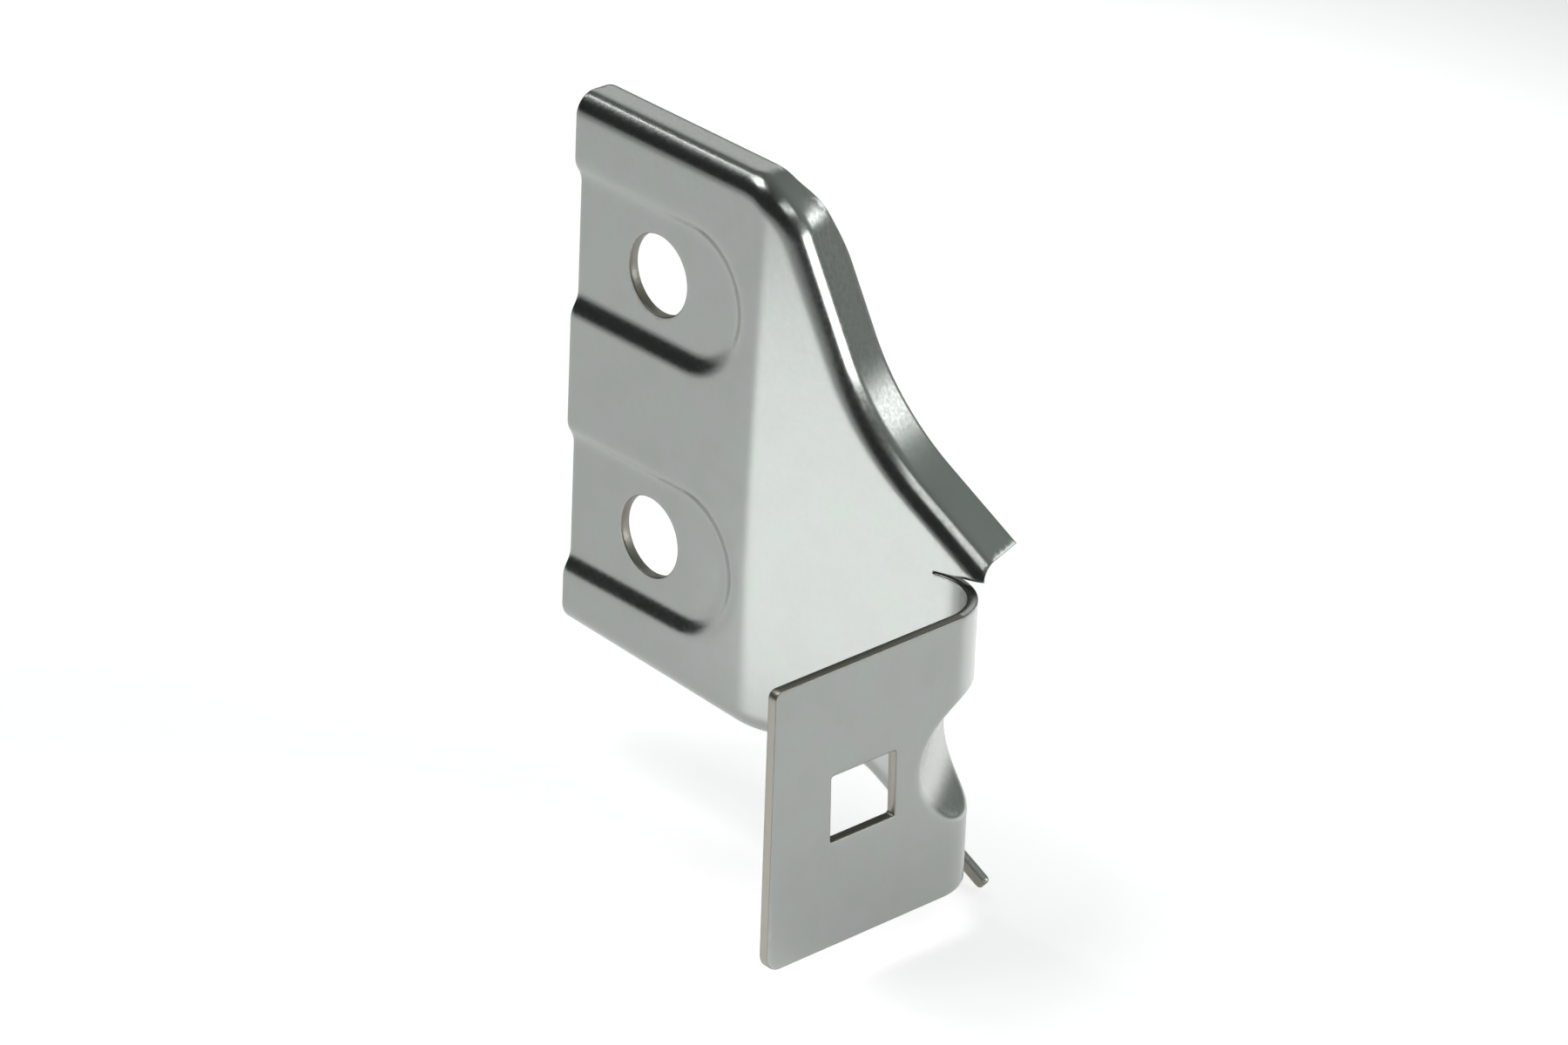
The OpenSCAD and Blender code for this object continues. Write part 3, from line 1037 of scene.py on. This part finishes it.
@dataclass(frozen=True)
class ZincFinish:
    """Bright zinc plate over rolled steel, faintly mottled, with duller cut edges.

    Scales are in waves per metre and heights in metres.
    """

    name: str = "bright_zinc"
    tints: tuple[Colour, ...] = (
        (0.335, 0.352, 0.335, 1.0),
        (0.345, 0.356, 0.350, 1.0),
        (0.338, 0.362, 0.342, 1.0),
    )
    tint_places: Triple = (0.36, 0.5, 0.64)
    edge_tint: Colour = (0.23, 0.222, 0.195, 1.0)
    patch_scale: float = 260.0
    patch_detail: float = 3.0
    grain_scale: float = 3200.0
    grain_detail: float = 2.0
    grain_range: Pair = (0.3, 0.7)
    roughness: Pair = (0.19, 0.27)
    edge_roughness: float = 0.45
    bump_height: float = 0.000012
    bump_strength: float = 0.12

    def build(self, cut_mark: str) -> bpy.types.Material:
        """Builds the material.

        Args:
            cut_mark: Name of the mesh attribute that is 1 on the sheet's dull cut edges.

        Returns:
            The material.
        """
        material = bpy.data.materials.new(self.name)
        material.use_nodes = True
        tree = material.node_tree
        edge = node(tree, "ShaderNodeAttribute", {}, attribute_name=cut_mark).outputs["Fac"]
        grain = self.noise(tree, self.grain_scale, self.grain_detail)
        bump = node(tree, "ShaderNodeBump", {
            "Strength": self.bump_strength, "Distance": self.bump_height, "Height": grain
        })
        node(tree, "Principled BSDF", {
            "Metallic": 1.0,
            "Base Color": self.colour(tree, edge),
            "Roughness": self.gloss(tree, grain, edge),
            "Normal": bump.outputs["Normal"],
        })
        return material

    def noise(self, tree: Tree, scale: float, detail: float) -> Socket:
        """Adds a noise that is fixed to the object, with as many finer layers as detail says."""
        inputs = {"Vector": tree.nodes.new("ShaderNodeTexCoord").outputs["Object"], "Scale": scale}
        return node(tree, "ShaderNodeTexNoise", {**inputs, "Detail": detail}).outputs["Fac"]

    def colour(self, tree: Tree, edge: Socket) -> Socket:
        """Adds the mottled tint, with the cut edges' own.

        Args:
            tree: Node tree of the material.
            edge: Mark of the dull cut edges.

        Returns:
            The colour.
        """
        patches = self.noise(tree, self.patch_scale, self.patch_detail)
        tint = node(tree, "ShaderNodeValToRGB", {"Fac": patches})
        steps = tint.color_ramp.elements
        steps.new(self.tint_places[1])
        for step, place, colour in zip(steps, self.tint_places, self.tints):
            step.position, step.color = place, colour
        mix = node(tree, "ShaderNodeMix", {0: edge}, data_type="RGBA")
        plated, cut = (socket for socket in mix.inputs if socket.type == "RGBA")
        tree.links.new(tint.outputs["Color"], plated)
        cut.default_value = self.edge_tint
        return next(socket for socket in mix.outputs if socket.type == "RGBA")

    def gloss(self, tree: Tree, grain: Socket, edge: Socket) -> Socket:
        """Adds the roughness, which follows the grain and is higher on the cut edges.

        Args:
            tree: Node tree of the material.
            grain: Noise value of the grain.
            edge: Mark of the dull cut edges.

        Returns:
            The roughness.
        """
        spans = dict(zip(RANGES, self.grain_range + self.roughness))
        spread = node(tree, "ShaderNodeMapRange", {"Value": grain, **spans}).outputs["Result"]
        inputs = {0: edge, 2: spread, 3: self.edge_roughness}
        return node(tree, "ShaderNodeMix", inputs, data_type="FLOAT").outputs[0]


@dataclass(frozen=True)
class Lamp:
    """A soft panel lamp, turned to the origin. Angles are in degrees, distances in metres."""

    name: str
    azimuth: float
    elevation: float
    distance: float
    width: float
    height: float
    radiance: float

    def build(self) -> None:
        """Adds the lamp to the scene."""
        data = bpy.data.lights.new(self.name, "AREA")
        data.shape = "RECTANGLE"
        data.size, data.size_y = self.width, self.height
        data.energy = math.pi * self.width * self.height * self.radiance
        around, up = math.radians(self.azimuth), math.radians(self.elevation)
        level = math.cos(up)
        way = Vector((level * math.cos(around), level * math.sin(around), math.sin(up)))
        add(data, way * self.distance, way).visible_camera = False


@dataclass(frozen=True)
class Pool:
    """A spot lamp that brightens one round patch of the floor, for the bracket to mirror."""

    name: str
    place: Triple
    aim: Triple
    radius: float
    power: float
    source: float = 0.01
    softness: float = 0.45

    def build(self) -> None:
        """Adds the lamp to the scene."""
        way = Vector(self.place) - Vector(self.aim)
        data = bpy.data.lights.new(self.name, "SPOT")
        data.energy = self.power
        data.shadow_soft_size = self.source
        data.spot_size = 2 * math.atan(self.radius / way.length)
        data.spot_blend = self.softness
        add(data, Vector(self.place), way)


@dataclass(frozen=True)
class Floor:
    """Pale floor under the bracket, with a painted glow (a painted pool of light) that is bright
    near it and dimmer far off. Sizes are in metres.
    """

    half: float = 3.0
    gap: float = 0.0004
    grey: float = 0.8
    roughness: float = 0.9
    glow: float = 0.58
    far_glow: float = 0.25
    centre: Triple = (-0.03, 0.02, -0.033)
    reach: Pair = (0.14, 0.2)

    def build(self) -> None:
        """Lays the floor under the lowest point of all pieces."""
        mesh = bpy.data.meshes.new("studio_floor")
        half, level = self.half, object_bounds()[0][2] - self.gap
        corners = [(-half, -half, level), (half, -half, level), (half, half, level)]
        mesh.from_pydata(corners + [(-half, half, level)], [], [(0, 1, 2, 3)])
        mesh.materials.append(self.material())
        add(mesh)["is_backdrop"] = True

    def material(self) -> bpy.types.Material:
        """Builds the floor's material, which glows for the rays that see or mirror it.

        Returns:
            The material.
        """
        material = bpy.data.materials.new("studio_white")
        material.use_nodes = True
        tree = material.node_tree
        place = tree.nodes.new("ShaderNodeTexCoord").outputs["Object"]
        ends = {0: place, 1: self.centre}
        # Painted pool of light: the floor's glow is strongest round centre and fades to far_glow
        # of it between the two reach distances.
        reach = node(tree, "ShaderNodeVectorMath", ends, operation="DISTANCE").outputs["Value"]
        spans = dict(zip(RANGES, (*self.reach, self.glow, self.glow * self.far_glow)))
        painted_pool_fade = node(tree, "ShaderNodeMapRange", {"Value": reach, **spans})
        rays = tree.nodes.new("ShaderNodeLightPath").outputs
        glow = rays["Is Camera Ray"]
        for operation, other in (
            ("MAXIMUM", rays["Is Glossy Ray"]),
            ("MAXIMUM", rays["Is Transmission Ray"]),
            ("MULTIPLY", painted_pool_fade.outputs["Result"]),
        ):
            joined = node(tree, "ShaderNodeMath", {0: glow, 1: other}, operation=operation)
            glow = joined.outputs[0]
        node(tree, "Principled BSDF", {
            "Base Color": (self.grey, self.grey, self.grey, 1),
            "Roughness": self.roughness,
            "Emission Color": (1, 1, 1, 1),
            "Emission Strength": glow,
        })
        return material


@dataclass(frozen=True)
class Camera:
    """The photograph's camera: a long lens. Lengths are in millimetres or photo pixels."""

    right: Triple = (0.663, 0.747, 0.038)
    up: Triple = (-0.355, 0.264, 0.899)
    scale: float = 14.3
    origin: Pair = (758.2, 462.6)
    focal: float = 9400.0
    picture: tuple[int, int] = (1800, 1200)
    middle_depth: float = 8.2
    sensor: float = 36.0
    clip: Pair = (0.01, 20.0)

    def build(self) -> None:
        """Places the camera where the photograph was taken from."""
        right = Vector(self.right).normalized()
        up = Vector(self.up)
        up = (up - right * up.dot(right)).normalized()
        back = right.cross(up)
        width, height = self.picture
        target = (
            right * ((width / 2 - self.origin[0]) / self.scale)
            + up * (-(height / 2 - self.origin[1]) / self.scale)
            + back * self.middle_depth
        )
        place = target + back * (self.focal / self.scale)
        data = bpy.data.cameras.new("camera")
        data.sensor_width = self.sensor
        data.lens = self.focal * self.sensor / width
        data.clip_start, data.clip_end = self.clip
        obj = add(data)
        turn = Matrix((right, up, back)).transposed().to_4x4()
        obj.matrix_world = Matrix.Translation(place * MM) @ turn
        bpy.context.scene.camera = obj


@dataclass(frozen=True)
class Sky:
    """Surrounding light: dim in front and brighter behind and overhead."""

    towards: Triple = (0.1, 0.85, 0.5)
    steps: tuple[Pair, ...] = ((0.0, 0.045), (0.4, 0.12), (0.8, 0.26), (1.0, 0.4))
    tint: Triple = (0.95, 1.04, 0.98)

    def build(self) -> None:
        """Sets the world's light."""
        world = bpy.data.worlds.new("studio_world")
        world.use_nodes = True
        tree = world.node_tree
        view = tree.nodes.new("ShaderNodeTexCoord").outputs["Generated"]
        ways = {0: view, 1: self.towards}
        along = node(tree, "ShaderNodeVectorMath", ways, operation="DOT_PRODUCT")
        ramp = node(tree, "ShaderNodeValToRGB", {"Fac": along.outputs["Value"]})
        node(tree, "Background", {"Color": ramp.outputs["Color"]})
        elements = ramp.color_ramp.elements
        for place, _ in self.steps[1:-1]:
            elements.new(place)
        for element, (place, level) in zip(elements, self.steps):
            element.position = place
            element.color = (*(level * share for share in self.tint), 1)
        bpy.context.scene.world = world


@dataclass
class Studio:
    """Camera, pale floor, surrounding light and soft lamps."""

    camera: Camera = field(default_factory=Camera)
    floor: Floor = field(default_factory=Floor)
    sky: Sky = field(default_factory=Sky)
    lamps: tuple[Lamp, ...] = (
        Lamp("back_right_lamp", 25, 9, 0.6, 0.42, 0.14, 8.5),
        Lamp("right_top_lamp", 3, 48, 0.6, 0.4, 0.1, 2.4),
        Lamp("left_strip_lamp", 183, 49, 0.6, 0.02, 0.5, 8.0),
        Lamp("left_back_lamp", 137, 27, 0.6, 0.3, 0.25, 0.8),
        Lamp("back_lamp", 76, 14, 0.6, 0.12, 0.1, 3.6),
        Lamp("top_lamp", 215, 63, 0.7, 0.3, 0.3, 4.6),
    )
    pools: tuple[Pool, ...] = (
        Pool("front_pool", (0.045, -0.09, 0.4), (0.028, -0.074, -0.031), 0.064, 10.8),
        Pool("back_pool", (0.06, 0.14, 0.3), (0.034, 0.06, -0.033), 0.032, 2.8),
    )

    def build(self) -> None:
        """Builds everything around the bracket."""
        for part in (self.camera, self.floor, self.sky, *self.lamps, *self.pools):
            part.build()


def main() -> None:
    """Builds the bracket and its studio, and reports each piece."""
    logging.basicConfig(level=logging.INFO)
    bpy.context.scene.view_settings.view_transform = "Standard"
    bracket = Bracket()
    piece = bracket.build()
    bracket.dress(piece, ZincFinish().build(bracket.cut_mark))
    LOG.info("%s: %d faces", piece.name, len(piece.data.polygons))
    Studio().build()


if __name__ == "__main__":
    main()
